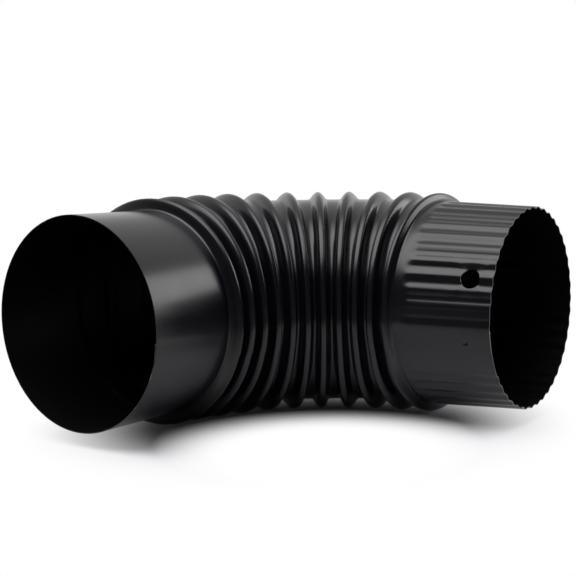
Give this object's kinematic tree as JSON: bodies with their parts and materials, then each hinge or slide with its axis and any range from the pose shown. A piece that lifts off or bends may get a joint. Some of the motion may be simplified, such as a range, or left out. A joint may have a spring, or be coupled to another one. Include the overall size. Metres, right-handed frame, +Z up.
{
  "type": "stovepipe elbow",
  "caption": "Corrugated right-angle stovepipe elbow in black-painted sheet steel, with a plain mouth, a crimped mouth, a lap seam and a hanging hole.",
  "frame": {"origin": "centre of the elbow's outline, at the level of the beads it lies on", "axes": "+Z up, square to the plane of the bend; -Y out of the plain mouth; +X out of the crimped mouth"},
  "size_m": [0.3224, 0.3235, 0.1748],
  "materials": {
    "black_paint": "satin black stove paint"
  },
  "bodies": {
    "root": {"elbow": "black_paint"}
  },
  "joints": []
}
